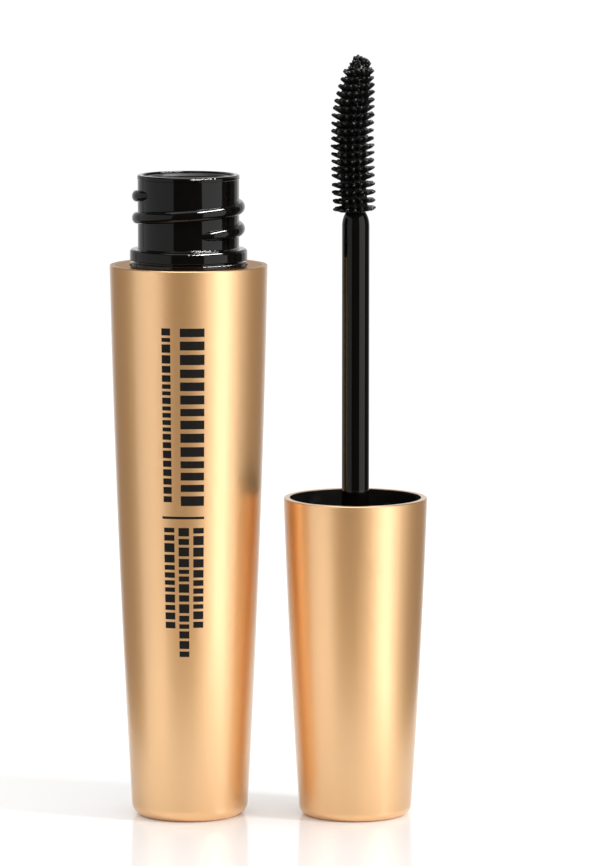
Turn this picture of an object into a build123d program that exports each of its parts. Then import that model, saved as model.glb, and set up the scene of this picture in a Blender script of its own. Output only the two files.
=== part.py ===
from build123d import *
import math
import os

# Mascara, standing open: the bottle upright, its cap upside down beside it with the wand pointing up.
# Millimetres, +Z up.  The origin is the centre of the bottle's base, on the ground.
# The cap's axis is the vertical through (cap_offset, 0).

# ---- driving dimensions -------------------------------------------------------------------------
cap_offset = 23.7

bottle_height = 79.0
bottle_base_r = 8.22
bottle_top_r = 11.2
bottle_bulge = 0.34
bottle_wall = 0.8
bottle_floor = 1.2
base_round = 1.7

ring_thickness = 1.0
rim_bevel = 0.1

inner_body_gap = 0.42
inner_wall = 1.1
inner_floor = 1.3
collar_height = 4.5
collar_gap = 0.2
ring_gap = 0.02

neck_r = 7.2
neck_wall = 0.75
neck_height = 12.8
neck_hole_gap = 0.05
lip_height = 0.6
lip_out = 0.06
flange_out = 1.14
flange_low = 0.68
flange_thickness = 1.62
foot_height = 0.42
foot_in = 0.08
foot_round = 0.14
groove_in = 0.64

thread_pitch = 3.1
thread_rise = 5.1
thread_from = -82.0
thread_to = 587.0
thread_round = 0.68
thread_half_width = 0.86
thread_run_out = 42.0
thread_out = 0.82
cap_thread_round = 0.52
cap_thread_turns = 1.2
flank_gap = 0.12
thread_gap = 0.15
screw_turns = 1.25

cap_height = 45.7
cap_end_r = 7.95
cap_mouth_r = 10.22
cap_bulge = 0.2
cap_wall = 0.84
cap_floor = 1.2
cap_round = 1.35
mouth_gap = 0.15

liner_recess = 0.08
liner_wall_gap = 0.05
liner_flange_gap = 0.45
liner_counterbore_depth = 3.0
liner_skirt_below = 5.0
web_thickness = 2.2
boss_spare = 0.375
plug_gap = 0.15
core_wall = 2.28
core_depth = 11.5

washer_inset = 0.1
washer_thickness = 0.8
seat_gap = 0.1

wiper_drop = 0.3
wiper_cup_wall = 1.25
wiper_cup_spare = 0.85
wiper_straight = 7.5
wiper_length = 15.6
wiper_lip_wall = 0.75
running_gap = 0.05

stem_r = 1.96
stem_draw_in = 0.54
stem_round = 1.9
stem_depth = 10.0
tip_above_base = 16.1

wire_r = 0.45
wire_in_stem = 7.0
row_count = 19
row_pitch = 1.04
row_space = 0.04
row_root_r = 1.84
row_tip_r = 3.12
row_tip_width = 0.3
dome_rows = 7
dome_tip_r = 2.2
dome_height = 2.0
stem_to_rows = 0.12
clump_r = 0.7
clump_height = 0.35
clump_gap = 0.06

paste_level = 60.0
paste_channel_side = 0.88
paste_channel_gap = 1.35

# ---- places that follow from them ---------------------------------------------------------------
rim_z = bottle_height + neck_height
# The height of a point on the standing cap plus its height when screwed down is always this.
swap_height = bottle_height + mouth_gap + cap_height
screw_travel = screw_turns * thread_pitch
tip_z = swap_height - tip_above_base
seat_z = swap_height - (rim_z + washer_thickness + 2 * seat_gap)
boss_length = washer_thickness + seat_gap + screw_travel + boss_spare
boss_z = seat_z + boss_length
shell_bore_top_r = bottle_top_r - bottle_wall
inner_body_r = bottle_base_r - bottle_wall - inner_body_gap
flange_r = neck_r + flange_out
cap_bore_top_r = cap_mouth_r - cap_wall
liner_r = neck_r + thread_out + thread_gap
neck_bore_r = neck_r - neck_wall
body_bore_r = inner_body_r - inner_wall
wiper_cup_r = neck_bore_r - wiper_cup_wall
wiper_cup_depth = boss_length - washer_thickness - 2 * seat_gap - wiper_drop + wiper_cup_spare
boss_r = wiper_cup_r - plug_gap
washer_r = neck_r - washer_inset
core_r = stem_r + running_gap + core_wall
stem_tip_r = stem_r - stem_draw_in
paste_channel_r = row_tip_r + paste_channel_side
paste_floor_z = bottle_floor + inner_floor
rows_top_z = tip_z - clump_height - clump_gap - dome_height
rows_low_z = rows_top_z - row_count * row_pitch
stem_top_z = rows_low_z - stem_to_rows


def mid(r, z):
    """A point that an arc of the outline passes through, halfway between two corners."""
    return (r, z, "arc")


def dome_mid(r, low, height):
    """The halfway point of a spherical cap's outline, from its edge up to the axis."""
    ball_r = (r**2 + height**2) / (2 * height)
    half_angle = math.atan2(r, ball_r - height) / 2
    return mid(ball_r * math.sin(half_angle), low + height - ball_r * (1 - math.cos(half_angle)))


def round_mid(r, low, tip_r, high):
    """The halfway point of an arc that leaves a cylinder smoothly and draws in to tip_r."""
    arc_r = ((r - tip_r) ** 2 + (high - low) ** 2) / (2 * (r - tip_r))
    half_angle = math.asin((high - low) / arc_r) / 2
    return mid(r - arc_r * (1 - math.cos(half_angle)), low + arc_r * math.sin(half_angle))


def turned(outline, x=0.0):
    """The solid of revolution of a closed outline of (radius, height) about the vertical at x."""
    corners = outline + outline[:1]
    edges = []
    i = 0
    while i < len(corners) - 1:
        start = (corners[i][0], 0, corners[i][1])
        if len(corners[i + 1]) == 3:
            through = (corners[i + 1][0], 0, corners[i + 1][1])
            end = (corners[i + 2][0], 0, corners[i + 2][1])
            edges.append(ThreePointArc(start, through, end).edge())
            i += 2
        else:
            end = (corners[i + 1][0], 0, corners[i + 1][1])
            edges.append(Line(start, end).edge())
            i += 1
    return Pos(x, 0, 0) * revolve(Face(Wire(edges)), Axis.Z)


def ring_edges(solid, r, z, near=0.02):
    """The circular edges of a turned solid at one radius and height."""
    return [
        e
        for e in solid.edges().filter_by(GeomType.CIRCLE)
        if abs(e.radius - r) < near and abs(e.position_at(0).Z - z) < near
    ]


def cup(height, end_r, mouth_r, bulge, wall, floor, rounding):
    """A tapering cup, slightly convex, closed below, with a rounded end and a bevelled mouth."""
    half = height / 2
    mid_r = (end_r + mouth_r) / 2 + bulge
    solid = turned(
        [
            (0, 0),
            (end_r, 0),
            mid(mid_r, half),
            (mouth_r, height - rim_bevel),
            (mouth_r - rim_bevel, height),
            (mouth_r - wall, height),
            mid(mid_r - wall, half),
            (end_r - wall, floor),
            (0, floor),
        ]
    )
    solid = fillet(ring_edges(solid, end_r, 0), rounding)
    return fillet(ring_edges(solid, end_r - wall, floor), rounding / 2)


def ridge(spine_r, half_depth, half_width, start, end, place, sunk):
    """A rounded helical ridge from one angle to another that sinks into its wall at both ends.

    place(angle) gives the direction and height; sunk is how far the spine moves at the ends.
    """
    steps = math.ceil((end - start) / 15)
    sections = []
    for i in range(steps + 1):
        angle = start + (end - start) * i / steps
        near_end = min(angle - start, end - angle)
        full = math.sin(math.pi / 2 * min(1.0, near_end / thread_run_out))
        r = spine_r + sunk * (1 - full)
        share = 0.45 + 0.55 * full
        turn, z = place(angle)
        flat = Plane(
            origin=(r * math.cos(math.radians(turn)), r * math.sin(math.radians(turn)), z),
            x_dir=(math.cos(math.radians(turn)), math.sin(math.radians(turn)), 0),
            z_dir=(-math.sin(math.radians(turn)), math.cos(math.radians(turn)), 0),
        )
        sections.append(flat * Ellipse(half_depth * share, half_width * share).face())
    return loft(sections)


def make_bottle_shell():
    return cup(
        bottle_height, bottle_base_r, bottle_top_r, bottle_bulge, bottle_wall, bottle_floor, base_round
    )


def make_shoulder_ring():
    low = bottle_height - ring_thickness
    return turned(
        [
            (flange_r + neck_hole_gap, low),
            (shell_bore_top_r - ring_gap, low),
            (shell_bore_top_r - ring_gap, bottle_height),
            (flange_r + neck_hole_gap, bottle_height),
        ]
    )


def neck_thread_place(angle):
    return angle, bottle_height + thread_rise + thread_pitch * angle / 360


def make_inner_bottle():
    """Black inner bottle: body, collar under the shoulder ring, flange, neck and thread."""
    collar_top = bottle_height - ring_thickness
    collar_low = collar_top - collar_height
    collar_r = shell_bore_top_r - collar_gap
    flange_z = bottle_height + flange_low
    flange_top = flange_z + flange_thickness
    foot_r = flange_r - foot_in
    groove_r = flange_r - groove_in
    outside = turned(
        [
            (0, bottle_floor),
            (inner_body_r - 1.5, bottle_floor),
            (inner_body_r, bottle_floor + 1.5),
            (inner_body_r, collar_low - 3.0),
            (collar_r, collar_low),
            (collar_r, collar_top),
            (foot_r, collar_top),
            (foot_r, bottle_height + foot_height),
            (groove_r, bottle_height + foot_height),
            (groove_r, flange_z),
            (flange_r, flange_z),
            (flange_r, flange_top),
            (neck_r, flange_top),
            (neck_r, rim_z - lip_height - lip_out),
            (neck_r + lip_out, rim_z - lip_height),
            (neck_r + lip_out, rim_z),
            (0, rim_z),
        ]
    )
    outside = fillet(ring_edges(outside, flange_r, flange_top), flange_thickness * 0.26)
    outside = fillet(ring_edges(outside, flange_r, flange_z), flange_thickness * 0.1)
    outside = fillet(ring_edges(outside, foot_r, bottle_height + foot_height), foot_round)
    outside = fillet(ring_edges(outside, neck_r, flange_top), 0.25)
    outside = fillet(ring_edges(outside, neck_r + lip_out, rim_z), neck_wall * 0.35)
    spine_r = neck_r + thread_out - thread_round
    outside += ridge(
        spine_r,
        thread_round,
        thread_half_width,
        thread_from,
        thread_to,
        neck_thread_place,
        -thread_round,
    )
    bore_step = rim_z - wiper_length - 1.0
    bore = turned(
        [
            (0, paste_floor_z),
            (body_bore_r - 1.0, paste_floor_z),
            (body_bore_r, paste_floor_z + 1.0),
            (body_bore_r, bore_step - 0.5),
            (neck_bore_r, bore_step),
            (neck_bore_r, rim_z + 1),
            (0, rim_z + 1),
        ]
    )
    solid = outside - bore
    return fillet(ring_edges(solid, neck_bore_r, rim_z), neck_wall * 0.25)


def make_wiper():
    """Rubber wiper: a cup pressed into the neck, tapering to the lip that strips the wand."""
    top = rim_z - wiper_drop
    lip_r = stem_r + running_gap
    low = top - wiper_length
    return turned(
        [
            (lip_r, low),
            (lip_r + wiper_lip_wall, low),
            (lip_r + wiper_lip_wall, low + 1.2),
            (neck_bore_r - 0.6, top - wiper_straight),
            (neck_bore_r - 0.6, top - 2.0),
            (neck_bore_r, top - 1.4),
            (neck_bore_r, top),
            (wiper_cup_r + 0.3, top),
            (wiper_cup_r, top - 0.3),
            (wiper_cup_r, top - wiper_cup_depth),
            (lip_r + 0.25, low + 1.6),
            (lip_r, low + 1.2),
        ]
    )


def make_paste():
    """The product, with the channel that the closed wand keeps open in it."""
    channel_z = tip_above_base - paste_channel_gap
    return turned(
        [
            (0, paste_floor_z),
            (body_bore_r - 1.0, paste_floor_z),
            (body_bore_r, paste_floor_z + 1.0),
            (body_bore_r, paste_level),
            (paste_channel_r, paste_level - 1.0),
            (paste_channel_r, channel_z),
            (0, channel_z),
        ]
    )


def make_cap_shell():
    shell = cup(cap_height, cap_end_r, cap_mouth_r, cap_bulge, cap_wall, cap_floor, cap_round)
    return Pos(cap_offset, 0, 0) * shell


def cap_thread_place(angle):
    """Where the neck's angle and height lie on the standing cap, just below the neck's ridge."""
    spine_gap = neck_r + thread_gap + cap_thread_round - (neck_r + thread_out - thread_round)
    reach = thread_half_width + cap_thread_round + flank_gap
    under = math.sqrt(reach**2 - spine_gap**2)
    turn, z = neck_thread_place(angle)
    return 180 - 360 * screw_turns - turn, swap_height - (z - under)


def make_inner_cap():
    """Black liner: skirt with its thread, web with the washer's seat, boss and stem socket."""
    top = cap_height - liner_recess
    skirt_low = seat_z - liner_skirt_below
    half = cap_height / 2
    slope = (cap_mouth_r - cap_end_r) / cap_height
    skirt_top_r = cap_bore_top_r - slope * liner_recess - liner_wall_gap
    skirt_low_r = cap_bore_top_r - slope * (cap_height - skirt_low) - liner_wall_gap
    socket_r = stem_r + running_gap
    web_z = seat_z - web_thickness
    socket_z = seat_z - stem_depth - 0.1
    solid = turned(
        [
            (0, seat_z - core_depth),
            (core_r, seat_z - core_depth),
            (core_r, web_z),
            (skirt_low_r - 1.1, web_z),
            (skirt_low_r - 1.1, skirt_low),
            (skirt_low_r, skirt_low),
            (skirt_top_r, top),
            (flange_r + liner_flange_gap, top),
            (flange_r + liner_flange_gap, cap_height - liner_counterbore_depth),
            (liner_r, cap_height - liner_counterbore_depth - 0.5),
            (liner_r, seat_z),
            (boss_r, seat_z),
            (boss_r, boss_z - 0.4),
            (boss_r - 0.4, boss_z),
            (socket_r, boss_z),
            (socket_r, socket_z),
            (0, socket_z),
        ]
    )
    spine_r = neck_r + thread_gap + cap_thread_round
    lead = thread_to - 360 * screw_turns + 12
    solid += ridge(
        spine_r,
        cap_thread_round,
        cap_thread_round,
        lead,
        lead + 360 * cap_thread_turns,
        cap_thread_place,
        cap_thread_round,
    )
    return Pos(cap_offset, 0, 0) * solid


def make_seal_washer():
    """Washer on the boss, as far above its seat as the cap still has to screw down."""
    low = seat_z + seat_gap + screw_travel
    return turned(
        [
            (boss_r + running_gap, low),
            (washer_r, low),
            (washer_r, low + washer_thickness),
            (boss_r + running_gap, low + washer_thickness),
        ],
        cap_offset,
    )


def make_stem():
    hole_r = wire_r + running_gap
    shoulder = stem_top_z - stem_round
    return turned(
        [
            (0, seat_z - stem_depth),
            (stem_r, seat_z - stem_depth),
            (stem_r, shoulder),
            round_mid(stem_r, shoulder, stem_tip_r, stem_top_z),
            (stem_tip_r, stem_top_z),
            (hole_r, stem_top_z),
            (hole_r, stem_top_z - wire_in_stem - 0.1),
            (0, stem_top_z - wire_in_stem - 0.1),
        ],
        cap_offset,
    )


def make_brush_wire():
    low = stem_top_z - wire_in_stem
    solid = Pos(cap_offset, 0, low) * Cylinder(
        wire_r, rows_top_z + dome_height / 2 - low, align=(Align.CENTER, Align.CENTER, Align.MIN)
    )
    return solid


def row_radius(row):
    """Reach of a row's bristles: even up to the last few rows, which round off the tip."""
    past = max(0, row - (row_count - 1 - dome_rows))
    return row_tip_r - (row_tip_r - dome_tip_r) * (past / dome_rows) ** 1.8


def make_bristle_row(row):
    """One turn of bristles; the last one also closes over the wire's end."""
    low = rows_low_z + row * row_pitch + row_space / 2
    high = low + row_pitch - row_space
    tip = row_radius(row)
    middle = (low + high) / 2
    high_r = min(row_root_r, tip - 0.15)
    outline = [
        (wire_r, low),
        (row_root_r, low),
        (tip, middle - row_tip_width / 2),
        (tip, middle + row_tip_width / 2),
        (high_r, high),
    ]
    if row < row_count - 1:
        outline += [(wire_r, high)]
    else:
        wire_end = rows_top_z + dome_height / 2
        dome_top = rows_top_z + dome_height
        outline += [
            dome_mid(high_r, high, dome_top - high),
            (0, dome_top),
            (0, wire_end),
            (wire_r, wire_end),
        ]
    return turned(outline, cap_offset)


def make_product_clump():
    """A bead of product standing on the brush's tip."""
    low = tip_z - clump_height
    return turned(
        [(0, low), (clump_r, low), dome_mid(clump_r, low, clump_height), (0, tip_z)],
        cap_offset,
    )


os.makedirs("parts", exist_ok=True)

nodes = {
    "bottle_shell": make_bottle_shell(),
    "shoulder_ring": make_shoulder_ring(),
    "inner_bottle": make_inner_bottle(),
    "wiper": make_wiper(),
    "product": make_paste(),
    "cap_shell": make_cap_shell(),
    "inner_cap": make_inner_cap(),
    "seal_washer": make_seal_washer(),
    "stem": make_stem(),
    "brush_wire": make_brush_wire(),
    "product_clump": make_product_clump(),
}
for row in range(row_count):
    nodes[f"bristle_row_{row + 1:02d}"] = make_bristle_row(row)

for name, solid in nodes.items():
    export_step(solid, f"parts/{name}.step")
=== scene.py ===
import math
import random

import bpy
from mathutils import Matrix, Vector
from mathutils.bvhtree import BVHTree


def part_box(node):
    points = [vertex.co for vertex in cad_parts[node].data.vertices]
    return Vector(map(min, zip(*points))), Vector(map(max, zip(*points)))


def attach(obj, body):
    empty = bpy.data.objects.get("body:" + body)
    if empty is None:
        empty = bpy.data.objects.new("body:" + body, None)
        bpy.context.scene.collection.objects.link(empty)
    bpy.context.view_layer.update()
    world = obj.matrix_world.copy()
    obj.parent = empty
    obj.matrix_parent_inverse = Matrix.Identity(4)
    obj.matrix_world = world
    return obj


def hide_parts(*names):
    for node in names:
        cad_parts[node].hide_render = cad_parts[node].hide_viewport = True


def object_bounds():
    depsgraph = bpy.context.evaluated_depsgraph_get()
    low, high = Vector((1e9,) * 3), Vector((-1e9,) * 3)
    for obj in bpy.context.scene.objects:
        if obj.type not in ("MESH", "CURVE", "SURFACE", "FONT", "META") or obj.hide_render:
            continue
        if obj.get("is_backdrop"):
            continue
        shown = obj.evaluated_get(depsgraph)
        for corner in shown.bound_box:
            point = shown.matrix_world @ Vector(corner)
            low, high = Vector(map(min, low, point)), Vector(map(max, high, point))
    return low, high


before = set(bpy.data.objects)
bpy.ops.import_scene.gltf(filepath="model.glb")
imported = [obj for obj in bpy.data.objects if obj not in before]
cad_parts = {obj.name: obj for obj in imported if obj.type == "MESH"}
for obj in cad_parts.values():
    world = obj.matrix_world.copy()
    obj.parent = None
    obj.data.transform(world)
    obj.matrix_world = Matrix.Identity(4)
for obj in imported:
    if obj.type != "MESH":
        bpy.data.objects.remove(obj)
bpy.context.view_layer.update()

MM = 0.001
CREASE = math.radians(28)
BRISTLE_ROWS = sorted(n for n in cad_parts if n.startswith("bristle_row_"))


# ---- material helpers ---------------------------------------------------------------------------
UPWARD_FROM, UPWARD_TO = 0.85, 0.97
STANDING_FACE_DEPTH = 0.02 * MM


class Shader:
    """A node material with a Principled shader, and short calls that add and join nodes."""

    def __init__(self, name):
        self.material = bpy.data.materials.new(name)
        self.material.use_nodes = True
        self.tree = self.material.node_tree
        self.principled = self.tree.nodes["Principled BSDF"]
        self.place = self.tree.nodes.new("ShaderNodeTexCoord").outputs["Object"]

    def node(self, kind, **values):
        made = self.tree.nodes.new("ShaderNode" + kind)
        for key, value in values.items():
            if hasattr(made, key):
                setattr(made, key, value)
            else:
                made.inputs[key.replace("_", " ")].default_value = value
        return made

    def join(self, output, target):
        self.tree.links.new(output, target)

    def stretched(self, scale):
        """The object's coordinates in millimetres, scaled on each axis."""
        mapping = self.node("Mapping")
        mapping.inputs["Scale"].default_value = [s / MM for s in scale]
        self.join(self.place, mapping.inputs["Vector"])
        return mapping.outputs["Vector"]

    def noise(self, scale, detail=3.0, roughness=0.55, distortion=0.0):
        texture = self.node("TexNoise", Detail=detail, Roughness=roughness, Distortion=distortion)
        texture.inputs["Scale"].default_value = 1.0
        self.join(self.stretched(scale), texture.inputs["Vector"])
        return texture.outputs["Fac"]

    def ramp(self, source, low, high):
        """The source moved into the range from low to high."""
        spread = self.node("MapRange")
        spread.inputs["To Min"].default_value = low
        spread.inputs["To Max"].default_value = high
        self.join(source, spread.inputs["Value"])
        return spread.outputs["Result"]

    def mix(self, factor, first, second):
        blend = self.node("Mix", data_type="RGBA")
        blend.inputs["A"].default_value = (*first, 1)
        blend.inputs["B"].default_value = (*second, 1)
        self.join(factor, blend.inputs["Factor"])
        return blend.outputs["Result"]

    def upward(self):
        """One where a face looks straight up, and nothing elsewhere."""
        facing = self.node("SeparateXYZ")
        self.join(self.node("NewGeometry").outputs["True Normal"], facing.inputs[0])
        spread = self.node("MapRange")
        spread.inputs["From Min"].default_value = UPWARD_FROM
        spread.inputs["From Max"].default_value = UPWARD_TO
        self.join(facing.outputs["Z"], spread.inputs["Value"])
        return spread.outputs["Result"]

    def standing_face(self):
        """One on the flat end that the object stands on at rest, and nothing elsewhere."""
        where = self.node("SeparateXYZ")
        self.join(self.place, where.inputs[0])
        below = self.node("Math", operation="LESS_THAN")
        below.inputs[1].default_value = STANDING_FACE_DEPTH
        self.join(where.outputs["Z"], below.inputs[0])
        return below.outputs["Value"]

    def larger(self, first, second):
        """The larger of two outputs."""
        most = self.node("Math", operation="MAXIMUM")
        self.join(first, most.inputs[0])
        self.join(second, most.inputs[1])
        return most.outputs["Value"]

    def bump(self, *layers):
        """Bumps from (height output, distance in mm, strength), one upon the other."""
        normal = None
        for height, distance, strength in layers:
            bump = self.node("Bump")
            bump.inputs["Distance"].default_value = distance * MM
            bump.inputs["Strength"].default_value = strength
            self.join(height, bump.inputs["Height"])
            if normal is not None:
                self.join(normal, bump.inputs["Normal"])
            normal = bump.outputs["Normal"]
        self.join(normal, self.principled.inputs["Normal"])

    def set(self, **values):
        for key, value in values.items():
            self.principled.inputs[key.replace("_", " ")].default_value = value
        return self

    def paint(self, output):
        self.join(output, self.principled.inputs["Base Color"])

    def roughen(self, output):
        self.join(output, self.principled.inputs["Roughness"])


# ---- materials ----------------------------------------------------------------------------------
def gold_satin(name, upward_painted_shade):
    """Satin gold: fine bead-blasted grain, faint drawing lines round the tube, tiny tone drift.

    The second argument is how far the upward faces go over to a darker brown gold: painted shade
    that stands in for the dark reflection on a flat shoulder.  The flat end takes that painted
    shade too, so that it doesn't burn out to white where it comes to face up.
    """
    s = Shader(name)
    s.set(Metallic=1.0, IOR=1.5)
    s.set(Coat_Roughness=0.28, Coat_IOR=1.95)
    grain = s.noise((9, 9, 9), detail=4)
    drift = s.noise((0.09, 0.09, 0.05), detail=2)
    side = s.mix(drift, (0.86, 0.515, 0.222), (0.89, 0.545, 0.240))
    # Painted shade: upward faces and the flat end turn a darker brown, with less coat.
    painted_shade_mask = s.larger(s.ramp(s.upward(), 0.0, upward_painted_shade), s.standing_face())
    tone = s.node("Mix", data_type="RGBA")
    tone.inputs["B"].default_value = (0.60, 0.38, 0.20, 1)
    s.join(side, tone.inputs["A"])
    s.join(painted_shade_mask, tone.inputs["Factor"])
    s.paint(tone.outputs["Result"])
    s.join(s.ramp(painted_shade_mask, 1.0, 0.0), s.principled.inputs["Coat Weight"])
    s.roughen(s.ramp(grain, 0.38, 0.46))
    lines = s.noise((0.6, 0.6, 14), detail=2)
    s.bump((grain, 0.003, 0.2), (lines, 0.002, 0.10))
    return s.material


def painted_shade_gold():
    """The same gold on the flat shoulder, seen at a low angle, painted browner and less shiny:
    painted shade that stands in for its dark reflection.
    """
    s = Shader("gold_shoulder_painted_shade")
    s.set(Metallic=1.0, IOR=1.5)
    # Painted shade: a darkened specular tint and a darker brown colour than the satin gold.
    s.principled.inputs["Specular Tint"].default_value = (0.50, 0.38, 0.27, 1)
    grain = s.noise((8, 8, 8), detail=4)
    s.paint(s.mix(grain, (0.60, 0.36, 0.17), (0.66, 0.40, 0.20)))
    s.roughen(s.ramp(grain, 0.20, 0.28))
    s.bump((grain, 0.003, 0.2))
    return s.material


def black_gloss():
    """Polished black polypropylene with faint flow ripples round it and a trace of haze."""
    s = Shader("black_gloss")
    s.set(Metallic=0.0, IOR=1.40)
    haze = s.noise((0.9, 0.9, 0.5), detail=3)
    ripple = s.noise((0.12, 0.12, 1.6), detail=2)
    s.paint(s.mix(haze, (0.0006, 0.0005, 0.0004), (0.0013, 0.0011, 0.0009)))
    s.roughen(s.ramp(haze, 0.045, 0.10))
    s.bump((ripple, 0.010, 0.18))
    return s.material


def liner_black():
    """The cap's liner: the same plastic, less polished, with a matt cut edge at its mouth."""
    s = Shader("liner_black")
    s.set(Metallic=0.0, IOR=1.42)
    haze = s.noise((1.4, 1.4, 1.0), detail=3)
    s.paint(s.mix(haze, (0.0012, 0.0011, 0.0010), (0.0030, 0.0027, 0.0025)))
    s.roughen(s.ramp(haze, 0.16, 0.28))
    s.join(s.ramp(s.upward(), 0.5, 0.0), s.principled.inputs["Specular IOR Level"])
    s.bump((haze, 0.01, 0.2))
    return s.material


def wiper_rubber():
    """Soft black rubber with product smeared unevenly over it."""
    s = Shader("wiper_rubber")
    s.set(IOR=1.5)
    grain = s.noise((5, 5, 5), detail=4)
    smear = s.noise((0.5, 0.5, 0.8), detail=3, distortion=1.0)
    s.paint(s.mix(smear, (0.004, 0.004, 0.004), (0.012, 0.011, 0.011)))
    s.roughen(s.ramp(smear, 0.18, 0.5))
    s.bump((grain, 0.01, 0.3))
    return s.material


def seal_foam():
    """Closed-cell foam: dark and matt, with small cells."""
    s = Shader("seal_foam")
    cells = s.node("TexVoronoi")
    cells.inputs["Scale"].default_value = 1.0
    s.join(s.stretched((7, 7, 7)), cells.inputs["Vector"])
    s.paint(s.mix(cells.outputs["Distance"], (0.02, 0.02, 0.02), (0.05, 0.05, 0.05)))
    s.set(Roughness=0.85)
    s.bump((cells.outputs["Distance"], 0.03, 0.5))
    return s.material


def steel_wire():
    """Drawn steel with fine lines along it."""
    s = Shader("steel_wire")
    s.set(Metallic=1.0)
    lines = s.noise((3, 3, 0.3), detail=3)
    s.paint(s.mix(lines, (0.42, 0.42, 0.42), (0.55, 0.55, 0.54)))
    s.roughen(s.ramp(lines, 0.22, 0.38))
    s.bump((lines, 0.01, 0.2))
    return s.material


def wet_product():
    """Mascara paste: a wet black film over fine lumps."""
    s = Shader("wet_product")
    s.set(IOR=1.36)
    lumps = s.noise((3.4, 3.4, 3.4), detail=5, roughness=0.65)
    film = s.noise((0.9, 0.9, 0.9), detail=3)
    s.paint(s.mix(film, (0.0008, 0.0007, 0.0006), (0.0022, 0.0018, 0.0016)))
    s.roughen(s.ramp(film, 0.12, 0.34))
    s.bump((lumps, 0.14, 0.8))
    return s.material


def print_ink():
    """Screen-printed black ink: a thin satin film with a slightly uneven edge of gloss."""
    s = Shader("print_ink")
    s.set(IOR=1.3)
    mottle = s.noise((4, 4, 4), detail=4)
    s.paint(s.mix(mottle, (0.003, 0.0025, 0.002), (0.007, 0.0055, 0.0045)))
    s.roughen(s.ramp(mottle, 0.34, 0.5))
    s.bump((mottle, 0.004, 0.2))
    return s.material


def floor_white():
    """White gloss board: even white with a faint mirror image of what stands on it."""
    s = Shader("floor_white")
    s.set(IOR=1.30)
    grain = s.noise((0.02, 0.02, 0.02), detail=2)
    s.paint(s.mix(grain, (0.93, 0.93, 0.93), (0.95, 0.95, 0.95)))
    s.roughen(s.ramp(grain, 0.08, 0.12))
    return s.material


MATERIALS = {
    "bottle_gold": gold_satin("gold_satin_bottle", 1.0),
    "cap_gold": gold_satin("gold_satin_cap", 0.0),
    "shoulder": painted_shade_gold(),
    "black": black_gloss(),
    "liner": liner_black(),
    "rubber": wiper_rubber(),
    "foam": seal_foam(),
    "steel": steel_wire(),
    "product": wet_product(),
    "ink": print_ink(),
    "floor": floor_white(),
}

CAD_FINISH = {
    "bottle_shell": "bottle_gold",
    "cap_shell": "cap_gold",
    "shoulder_ring": "shoulder",
    "inner_bottle": "black",
    "stem": "black",
    "inner_cap": "liner",
    "wiper": "rubber",
    "seal_washer": "foam",
    "brush_wire": "steel",
    "product": "product",
}


def finish_cad_nodes():
    """Gives each CAD node its material and smooth shading between its true edges."""
    for name, finish in CAD_FINISH.items():
        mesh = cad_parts[name].data
        mesh.materials.clear()
        mesh.materials.append(MATERIALS[finish])
        mesh.shade_smooth()
        mesh.set_sharp_from_angle(angle=CREASE)


# ---- mesh helpers -------------------------------------------------------------------------------
def add_piece(name, soup, material, body, smooth=True):
    """A visible piece made of a soup's shapes, which moves with a body."""
    mesh = bpy.data.meshes.new(name)
    mesh.from_pydata(soup.verts, [], soup.faces)
    mesh.materials.append(MATERIALS[material])
    if smooth:
        mesh.shade_smooth()
    mesh.update()
    piece = bpy.data.objects.new(name, mesh)
    bpy.context.scene.collection.objects.link(piece)
    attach(piece, body)
    return piece


class Soup:
    """Gathers closed shapes into one list of corners and faces."""

    def __init__(self):
        self.verts = []
        self.faces = []

    def rings(self, rings):
        """Joins rings of equal length into a closed skin."""
        base = len(self.verts)
        count = len(rings[0])
        for ring in rings:
            self.verts += [tuple(p) for p in ring]
        for i in range(len(rings) - 1):
            for j in range(count):
                a = base + i * count + j
                b = base + i * count + (j + 1) % count
                self.faces.append((a, b, b + count, a + count))
        self.faces.append(tuple(base + j for j in reversed(range(count))))
        top = base + (len(rings) - 1) * count
        self.faces.append(tuple(top + j for j in range(count)))

    def tuft(self, root, tip, width, sides=7):
        """A tapered bristle tuft from root to tip, fat at the root with a rounded end."""
        along = tip - root
        length = along.length
        along = along.normalized()
        across = along.cross(Vector((0, 0, 1)))
        if across.length < 1e-6:
            across = Vector((1, 0, 0))
        across.normalize()
        up = across.cross(along).normalized()
        rings = []
        for share, size in TUFT_TAPER:
            centre = root + along * (length * share)
            ring = []
            for k in range(sides):
                a = 2 * math.pi * k / sides
                out = across * math.cos(a) + up * math.sin(a)
                ring.append(centre + out * (width * size / 2))
            rings.append(ring)
        self.rings(rings)


# How wide a tuft is at each share of its length.
TUFT_TAPER = [
    (0.0, 1.0),
    (0.3, 1.0),
    (0.55, 0.92),
    (0.75, 0.80),
    (0.89, 0.68),
    (0.97, 0.48),
    (1.0, 0.2),
]


# ---- brush --------------------------------------------------------------------------------------
wire_low, wire_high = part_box("brush_wire")
AXIS = Vector(((wire_low.x + wire_high.x) / 2, (wire_low.y + wire_high.y) / 2, 0))
row_lows = [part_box(n)[0].z for n in BRISTLE_ROWS]
ROW_PITCH = (row_lows[-1] - row_lows[0]) / (len(row_lows) - 1)
BRUSH_LOW = row_lows[0]
BRUSH_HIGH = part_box(BRISTLE_ROWS[-1])[1].z
CROWN_LOW = row_lows[-1]

SPINE_SHIFT = -0.20 * MM
SPINE_BOW = -0.28 * MM
TIP_LEAN = 0.98 * MM
LEAN_FROM = 0.5
LEAN_CURVE = 1.4

SLEEVE_SIDES = 48
SLEEVE_LEVELS = 6
SLEEVE_LUMPS = 9
SLEEVE_BELOW, SLEEVE_ABOVE = 0.10 * MM, 0.06 * MM
BODY_R = 1.74 * MM
BODY_SHARE = 0.66
ROOT_SHARE = 0.6

TUFTS_PER_ROW = 16
TUFT_WIDTH = (0.66 * MM, 0.76 * MM)
STUBS_PER_ROW = 22
STUB_WIDTH = (0.3 * MM, 0.55 * MM)
STUB_RISE = 0.25 * MM

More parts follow.
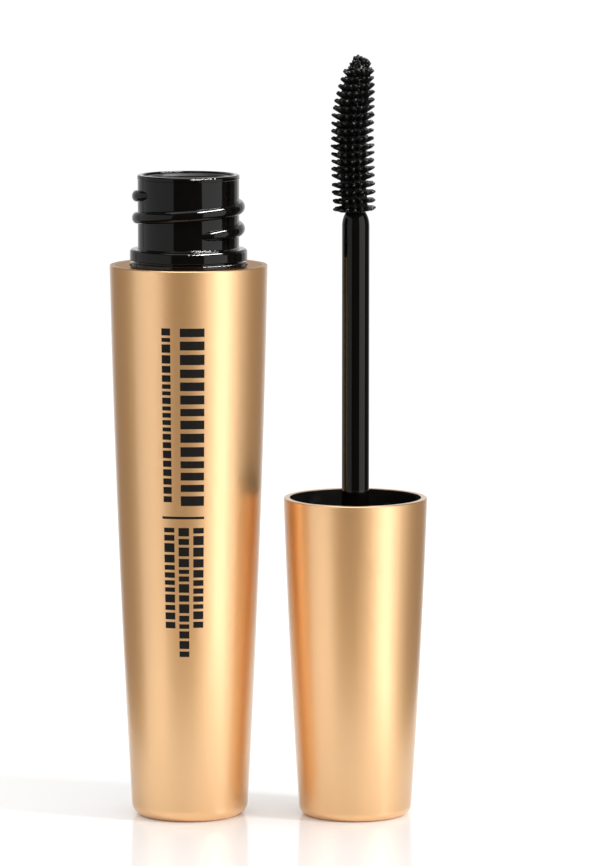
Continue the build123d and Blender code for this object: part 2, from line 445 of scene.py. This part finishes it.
CROWN_LEVELS = 7
CROWN_SIDES = 32
CROWN_FOOT = 0.1
CROWN_TUFT_WIDTH = (0.42 * MM, 0.58 * MM)
# The crown's rings of tufts: (tilt in degrees, number of tufts).
CROWN_RINGS = [(14, 17), (27, 16), (40, 15), (53, 13), (65, 11), (75, 8), (85, 5)]

# The product's blobs: (right, back, share of the height), the first two in its own half width.
CLUMP_BLOBS = [
    (0.0, 0.2, 1.0),
    (-0.72, -0.1, 0.35),
    (0.62, -0.3, 0.45),
    (-0.25, -0.7, 0.6),
]
CLUMP_SUNK = 0.5 * MM
CLUMP_LEAN = 0.4


def spine(z):
    """The brush's centreline: bowed a little to the left, with its tip leaning right."""
    t = min(max((z - BRUSH_LOW) / (BRUSH_HIGH - BRUSH_LOW), 0.0), 1.0)
    bow = SPINE_SHIFT + SPINE_BOW * math.sin(math.pi * t)
    lean = TIP_LEAN * max(0.0, t - LEAN_FROM) ** LEAN_CURVE
    lean /= (1 - LEAN_FROM) ** LEAN_CURVE
    return AXIS + Vector((bow + lean, 0, z))


def level(angle):
    """The flat direction at an angle round the brush."""
    return Vector((math.cos(angle), math.sin(angle), 0))


def row_reach(node):
    """How far a row's bristles reach from the middle."""
    low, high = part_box(node)
    return (high.x - low.x) / 2


def sleeve(soup, rng, low, high, low_r, high_r, phase):
    """The lumpy, product-coated body between two heights."""
    rings = []
    for i in range(SLEEVE_LEVELS + 1):
        t = i / SLEEVE_LEVELS
        z = low + (high - low) * t
        centre = spine(z)
        radius = low_r + (high_r - low_r) * t
        ring = []
        for k in range(SLEEVE_SIDES):
            a = 2 * math.pi * k / SLEEVE_SIDES
            wave = 0.05 * math.sin(SLEEVE_LUMPS * a + phase + i)
            lump = 1 + wave + rng.uniform(-0.06, 0.06)
            ring.append(centre + level(a) * radius * lump)
        rings.append(ring)
    soup.rings(rings)


def body_radius(reach):
    """The coated body's radius in a row of this reach."""
    return min(BODY_R, reach * BODY_SHARE)


def row_lift(index):
    """How steeply a row's tufts point up: level at the foot, then more and more to the tip."""
    share = index / (len(BRISTLE_ROWS) - 1)
    return math.radians(1 + 17 * min(1.0, index / 4) + 18 * max(0.0, share - 0.45) / 0.55)


def ring_of_tufts(soup, rng, low, reach, body_r, lift):
    """The row's long tufts."""
    start_r = body_r * ROOT_SHARE
    for k in range(TUFTS_PER_ROW):
        a = 2 * math.pi * (k + rng.uniform(-0.12, 0.12)) / TUFTS_PER_ROW
        own_lift = lift + math.radians(rng.uniform(-2.5, 2.5))
        length = reach * rng.uniform(0.96, 1.0)
        rise = (length - start_r) * math.tan(own_lift)
        z = low + ROW_PITCH * (0.30 + 0.08 * math.cos(a)) + rng.uniform(-0.03, 0.03) * MM
        root = spine(z) + level(a) * start_r
        tip = spine(z) + level(a) * length + Vector((0, 0, rise))
        tip.z = min(tip.z, BRUSH_HIGH)
        soup.tuft(root, tip, rng.uniform(*TUFT_WIDTH))


def ring_of_stubs(soup, rng, low, body_r):
    """Short stubs between the row's tufts, where product sticks them together."""
    for k in range(STUBS_PER_ROW):
        a = 2 * math.pi * (k + rng.uniform(-0.3, 0.3)) / STUBS_PER_ROW
        z = low + ROW_PITCH * rng.uniform(0.1, 0.95)
        root = spine(z) + level(a) * body_r * ROOT_SHARE
        reach = body_r + rng.uniform(0.05, 0.24) * MM
        tip = spine(z) + level(a) * reach + Vector((0, 0, STUB_RISE))
        soup.tuft(root, tip, rng.uniform(*STUB_WIDTH))


def row_of_tufts(node, index):
    """One turn of the brush: a piece of the coated body with its tufts and stubs."""
    rng = random.Random(100 + index)
    soup = Soup()
    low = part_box(node)[0].z
    reach = row_reach(node)
    body_r = body_radius(reach)
    foot_r = body_r * (0.9 if index == 0 else 1.0)
    high = low + ROW_PITCH + SLEEVE_ABOVE
    sleeve(soup, rng, low - SLEEVE_BELOW, high, foot_r, body_r, index * 1.7)
    ring_of_tufts(soup, rng, low, reach, body_r, row_lift(index))
    ring_of_stubs(soup, rng, low, body_r)
    return soup


def crown_of_tufts(soup):
    """Short stubby tufts that close the brush's tip, pointing ever more upward."""
    rng = random.Random(77)
    height = BRUSH_HIGH - CROWN_LOW
    wide = row_reach(BRISTLE_ROWS[-1]) * 0.86
    middle = spine(CROWN_LOW + height * CROWN_FOOT)
    rings = []
    for i in range(CROWN_LEVELS):
        e = math.pi / 2 * i / (CROWN_LEVELS - 0.7)
        centre = spine(CROWN_LOW + height * (CROWN_FOOT + 0.68 * math.sin(e)))
        ring = []
        for k in range(CROWN_SIDES):
            a = 2 * math.pi * k / CROWN_SIDES
            r = wide * 0.84 * math.cos(e) ** 0.8 * (1 + rng.uniform(-0.09, 0.09))
            ring.append(centre + level(a) * r)
        rings.append(ring)
    soup.rings(rings)
    for number, (tilt, count) in enumerate(CROWN_RINGS):
        for k in range(count):
            a = 2 * math.pi * (k + 0.5 * number + rng.uniform(-0.2, 0.2)) / count
            e = math.radians(tilt + rng.uniform(-7, 7))
            flat = max(0.0, math.cos(e)) ** 0.72
            out = Vector((math.cos(a) * flat, math.sin(a) * flat, math.sin(e)))
            reach = rng.uniform(0.94, 1.05)
            tall = height * 0.9 * min(1.0, out.z * rng.uniform(0.94, 1.04))
            tip = spine(middle.z + tall) + Vector((out.x, out.y, 0)) * wide * reach
            root = middle + out * 0.5 * MM
            soup.tuft(root, tip, rng.uniform(*CROWN_TUFT_WIDTH))


def make_brush():
    """One piece for each row of bristles, with the crown on the last."""
    for index, node in enumerate(BRISTLE_ROWS):
        soup = row_of_tufts(node, index)
        if index == len(BRISTLE_ROWS) - 1:
            crown_of_tufts(soup)
        piece = add_piece(f"tufts_{index + 1:02d}", soup, "product", "cap")
        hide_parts(node)


def make_clump():
    """The product left on the tip: a few small soft blobs sunk between the crown's tufts."""
    low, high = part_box("product_clump")
    soup = Soup()
    rng = random.Random(5)
    size = (high.x - low.x) / 2
    middle_x = spine(BRUSH_HIGH).x * CLUMP_LEAN + AXIS.x * (1 - CLUMP_LEAN)
    for dx, dy, share in CLUMP_BLOBS:
        foot = Vector((middle_x + dx * size, dy * size, low.z - CLUMP_SUNK))
        tip = Vector((foot.x, foot.y, low.z + (high.z - low.z) * share))
        soup.tuft(foot, tip, rng.uniform(0.42, 0.55) * MM, sides=10)
    piece = add_piece("clump", soup, "product", "tip_product")
    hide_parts("product_clump")


# ---- print --------------------------------------------------------------------------------------
INK_SUNK, INK_PROUD = -0.01 * MM, 0.022 * MM
INK_COLUMN, INK_ROW = 0.5 * MM, 0.8 * MM


class ShellSkin:
    """Finds the bottle's outer surface in front of a point, so that print can lie on it."""

    def __init__(self):
        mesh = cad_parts["bottle_shell"].data
        low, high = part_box("bottle_shell")
        self.nominal = (high.x - low.x) / 2
        corners = [v.co.copy() for v in mesh.vertices]
        self.tree = BVHTree.FromPolygons(corners, [tuple(p.vertices) for p in mesh.polygons])

    def at(self, arc, z, proud):
        """The point that lies arc round the tube from its front, at height z, and proud of it."""
        a = arc / self.nominal
        out = Vector((math.sin(a), -math.cos(a), 0))
        hit = self.tree.ray_cast(out * self.nominal * 2 + Vector((0, 0, z)), -out)[0]
        return hit + out * proud


def print_block(soup, skin, x0, x1, z0, z1):
    """A thin raised patch of ink with plain side walls that follows the tube."""
    columns = max(2, math.ceil(abs(x1 - x0) / INK_COLUMN) + 1)
    rows = max(2, math.ceil(abs(z1 - z0) / INK_ROW) + 1)
    base = len(soup.verts)
    for proud in (INK_SUNK, INK_PROUD):
        for i in range(rows):
            for j in range(columns):
                x = x0 + (x1 - x0) * j / (columns - 1)
                z = z0 + (z1 - z0) * i / (rows - 1)
                soup.verts.append(tuple(skin.at(x, z, proud)))
    layer = rows * columns
    for i in range(rows - 1):
        for j in range(columns - 1):
            a = base + i * columns + j
            b = a + columns
            soup.faces.append((a + layer, a + layer + 1, b + layer + 1, b + layer))
            soup.faces.append((b, b + 1, a + 1, a))
    edge = (
        [base + j for j in range(columns)]
        + [base + i * columns + columns - 1 for i in range(1, rows)]
        + [base + (rows - 1) * columns + j for j in reversed(range(columns - 1))]
        + [base + i * columns for i in reversed(range(1, rows - 1))]
    )
    for a, b in zip(edge, edge[1:] + edge[:1]):
        soup.faces.append((a, b, b + layer, a + layer))


# Lines of placeholder print: (name, left, right, top, bottom, block lengths, gap), in mm from the
# middle of the tube's front and down from its shoulder.
PRINT_LINES = [
    ("print_bold", -1.05, 2.50, 8.0, 33.4, (0.95, 1.5), 0.62),
    ("print_small", -3.75, -2.45, 8.0, 33.2, (0.55, 1.2), 0.34),
    ("print_line_1", 0.85, 2.50, 36.3, 50.7, (0.6, 1.3), 0.36),
    ("print_line_2", -1.45, 0.20, 36.3, 55.7, (0.6, 1.3), 0.36),
    ("print_line_3", -3.75, -2.10, 36.3, 51.3, (0.6, 1.3), 0.36),
]
# The rule between the two groups of lines: (left, right, top, bottom).
PRINT_RULE = (-4.0, 2.55, 34.7, 35.05)


def make_print():
    """Rows of plain blocks where the tube carries its print, and the rule between them."""
    skin = ShellSkin()
    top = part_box("bottle_shell")[1].z
    rng = random.Random(11)
    for name, left, right, start, end, lengths, gap in PRINT_LINES:
        soup = Soup()
        z = start
        while z < end - lengths[0]:
            length = min(rng.uniform(*lengths), end - z)
            low, high = top - (z + length) * MM, top - z * MM
            print_block(soup, skin, left * MM, right * MM, low, high)
            z += length + gap
        add_piece(name, soup, "ink", "bottle", smooth=False)
    soup = Soup()
    left, right, start, end = PRINT_RULE
    print_block(soup, skin, left * MM, right * MM, top - end * MM, top - start * MM)
    add_piece("print_rule", soup, "ink", "bottle", smooth=False)


# ---- stage --------------------------------------------------------------------------------------
GOLD_NODES = ["bottle_shell", "cap_shell", "shoulder_ring"]
WHITE = (1.0, 1.0, 1.0)
WARM = (1.0, 0.75, 0.52)

# Each board's outline: points from front to back, with half its width at each.  The gold mirrors
# only the near one, so that its dark bands stay dark.
NEAR_BOARD = [(-0.065, 0.055), (0.5, 0.10), (3.2, 0.29)]
WIDE_BOARD = [(-0.6, 0.6), (3.2, 0.6)]
WIDE_BOARD_Z = -0.02 * MM

LAMP_DISTANCE = 0.8
SIDE_TILT = 4
SIDE_HEIGHT = 1.0
# Lamps for each group: (name, azimuth, elevation, width, height, radiance, tint).
GOLD_LAMPS = [
    ("gold_left", -62, SIDE_TILT, 50, SIDE_HEIGHT, 0.95, WHITE),
    ("gold_right_wide", 54, SIDE_TILT, 80, SIDE_HEIGHT, 0.5, WHITE),
    ("gold_right", 53, SIDE_TILT, 50, SIDE_HEIGHT, 0.65, WHITE),
    ("gold_right_core", 53, SIDE_TILT, 24, SIDE_HEIGHT, 1.3, WHITE),
    ("gold_front_fill", -5, SIDE_TILT, 120, SIDE_HEIGHT, 0.26, WARM),
    ("gold_left_fill", -118, SIDE_TILT, 60, SIDE_HEIGHT, 0.26, WARM),
    ("gold_right_fill", 118, SIDE_TILT, 60, SIDE_HEIGHT, 0.26, WARM),
    ("gold_top", 0, 86, 50, 0.7, 2.6, WHITE),
]
BLACK_LAMPS = [
    ("black_left", -78, SIDE_TILT, 90, SIDE_HEIGHT, 0.55, WHITE),
    ("black_left_back", -137, SIDE_TILT, 24, SIDE_HEIGHT, 0.5, WHITE),
    ("black_right", 57, SIDE_TILT, 52, SIDE_HEIGHT, 1.2, WHITE),
    ("black_right_back", 143, SIDE_TILT, 24, SIDE_HEIGHT, 0.5, WHITE),
    ("black_overhead", 0, 80, 60, 0.6, 1.6, WHITE),
    ("black_top", 60, 57, 48, 0.14, 80, WHITE),
]
FLOOR_LAMP = ("floor_key", 68, 24, 10, 0.14, 60, WHITE)

LIGHT_ON_FLOOR = 1.10
BACKDROP = 1.3
STUDIO_DARK, STUDIO_BRIGHT = 0.07, 1.0
BEHIND_FROM, BEHIND_TO = 0.78, 0.97

CAMERA_LENS = 224
CAMERA_SENSOR = 36
CAMERA_PITCH = math.radians(7.1)
CAMERA_DISTANCE = 0.767
AIM_X = 15.8 * MM
AIM_SHARE = 0.505


def make_board(name, outline, z, mirrored):
    """A white board that the object stands on."""
    verts = [(AXIS.x / 2 + side * half, y, z) for y, half in outline for side in (-1, 1)]
    faces = [(2 * i, 2 * i + 1, 2 * i + 3, 2 * i + 2) for i in range(len(outline) - 1)]
    mesh = bpy.data.meshes.new(name)
    mesh.from_pydata(verts, [], faces)
    mesh.materials.append(MATERIALS["floor"])
    board = bpy.data.objects.new(name, mesh)
    bpy.context.scene.collection.objects.link(board)
    board.visible_glossy = mirrored
    board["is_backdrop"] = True
    return board


def lit_group(name, objects):
    """A set of objects that some lamps are kept for."""
    group = bpy.data.collections.new(name)
    for thing in objects:
        group.objects.link(thing)
    return group


def softbox(lit, shading, name, azimuth, elevation, width, height, radiance, tint):
    """A lamp for one group; azimuth 0 is towards the camera and grows to the right.

    Width is its spread in degrees as the object sees it, and height is in metres.  Shading is the
    group that stands in its light, or None for everything.
    """
    light = bpy.data.lights.new(name, "AREA")
    light.shape = "RECTANGLE"
    light.size = 2 * LAMP_DISTANCE * math.tan(math.radians(width / 2))
    light.size_y = height
    light.energy = radiance * math.pi * light.size * light.size_y
    light.color = tint
    lamp = bpy.data.objects.new(name, light)
    a, e = math.radians(azimuth), math.radians(elevation)
    back = Vector((math.sin(a) * math.cos(e), -math.cos(a) * math.cos(e), math.sin(e)))
    lamp.location = Vector((AXIS.x / 2, 0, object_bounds()[1].z / 2)) + back * LAMP_DISTANCE
    lamp.rotation_mode = "QUATERNION"
    lamp.rotation_quaternion = (-back).to_track_quat("-Z", "Y")
    bpy.context.scene.collection.objects.link(lamp)
    lamp.visible_camera = False
    lamp.light_linking.receiver_collection = lit
    if shading:
        lamp.light_linking.blocker_collection = shading


def background(tree):
    """White light from all round."""
    shader = tree.nodes.new("ShaderNodeBackground")
    shader.inputs["Color"].default_value = (1, 1, 1, 1)
    return shader


def studio_strength(tree):
    """How bright the studio is in each direction: dark, and bright behind the object."""
    toward = tree.nodes.new("ShaderNodeTexCoord")
    split = tree.nodes.new("ShaderNodeSeparateXYZ")
    behind = tree.nodes.new("ShaderNodeMapRange")
    behind.interpolation_type = "SMOOTHSTEP"
    behind.inputs["From Min"].default_value = BEHIND_FROM
    behind.inputs["From Max"].default_value = BEHIND_TO
    behind.inputs["To Min"].default_value = STUDIO_DARK
    behind.inputs["To Max"].default_value = STUDIO_BRIGHT
    tree.links.new(toward.outputs["Generated"], split.inputs[0])
    tree.links.new(split.outputs["Y"], behind.inputs["Value"])
    return behind.outputs["Result"]


def make_world():
    """A dark studio to be mirrored in, bright behind, with even white light for the floor."""
    world = bpy.data.worlds.new("studio")
    bpy.context.scene.world = world
    world.cycles.sampling_method = "NONE"
    world.use_nodes = True
    tree = world.node_tree
    tree.nodes.clear()
    output = tree.nodes.new("ShaderNodeOutputWorld")
    mirrored = background(tree)
    tree.links.new(studio_strength(tree), mirrored.inputs["Strength"])
    lighting = background(tree)
    lighting.inputs["Strength"].default_value = LIGHT_ON_FLOOR
    seen = background(tree)
    seen.inputs["Strength"].default_value = BACKDROP
    ray = tree.nodes.new("ShaderNodeLightPath")
    unseen = tree.nodes.new("ShaderNodeMixShader")
    blend = tree.nodes.new("ShaderNodeMixShader")
    tree.links.new(ray.outputs["Is Diffuse Ray"], unseen.inputs["Fac"])
    tree.links.new(mirrored.outputs["Background"], unseen.inputs[1])
    tree.links.new(lighting.outputs["Background"], unseen.inputs[2])
    tree.links.new(ray.outputs["Is Camera Ray"], blend.inputs["Fac"])
    tree.links.new(unseen.outputs["Shader"], blend.inputs[1])
    tree.links.new(seen.outputs["Background"], blend.inputs[2])
    tree.links.new(blend.outputs["Shader"], output.inputs["Surface"])
    bpy.context.scene.view_settings.view_transform = "Standard"


def make_lights(boards):
    """Tall softboxes round the gold and round the black parts, lamps above, and a floor key."""
    gold_parts = [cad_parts[n] for n in GOLD_NODES]
    meshes = [o for o in bpy.context.scene.objects if o.type == "MESH"]
    black_parts = [o for o in meshes if o not in boards and o not in gold_parts]
    gold = lit_group("lit_gold", gold_parts)
    black = lit_group("lit_black", black_parts)
    # The cap's liner casts no shadow, so that light reaches the stem inside it.
    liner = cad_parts["inner_cap"]
    shading = lit_group("shading_black", [o for o in black_parts if o != liner])
    board = lit_group("lit_floor", boards)
    for lamp in GOLD_LAMPS:
        softbox(gold, gold, *lamp)
    for lamp in BLACK_LAMPS:
        softbox(black, shading, *lamp)
    softbox(board, None, *FLOOR_LAMP)


def make_camera():
    """A long lens a little above the object, as far off as its framing needs."""
    camera = bpy.data.cameras.new("camera")
    camera.lens = CAMERA_LENS
    camera.sensor_width = CAMERA_SENSOR
    camera.clip_start, camera.clip_end = 0.05, 20
    view = bpy.data.objects.new("camera", camera)
    aim = Vector((AIM_X, 0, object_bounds()[1].z * AIM_SHARE))
    back = Vector((0, -math.cos(CAMERA_PITCH), math.sin(CAMERA_PITCH)))
    view.location = aim + back * CAMERA_DISTANCE
    view.rotation_mode = "QUATERNION"
    view.rotation_quaternion = (aim - view.location).to_track_quat("-Z", "Y")
    bpy.context.scene.collection.objects.link(view)
    bpy.context.scene.camera = view


finish_cad_nodes()
make_brush()
make_clump()
make_print()
make_camera()
boards = [
    make_board("floor_near", NEAR_BOARD, 0.0, True),
    make_board("floor_wide", WIDE_BOARD, WIDE_BOARD_Z, False),
]
make_world()
make_lights(boards)

bpy.context.view_layer.update()
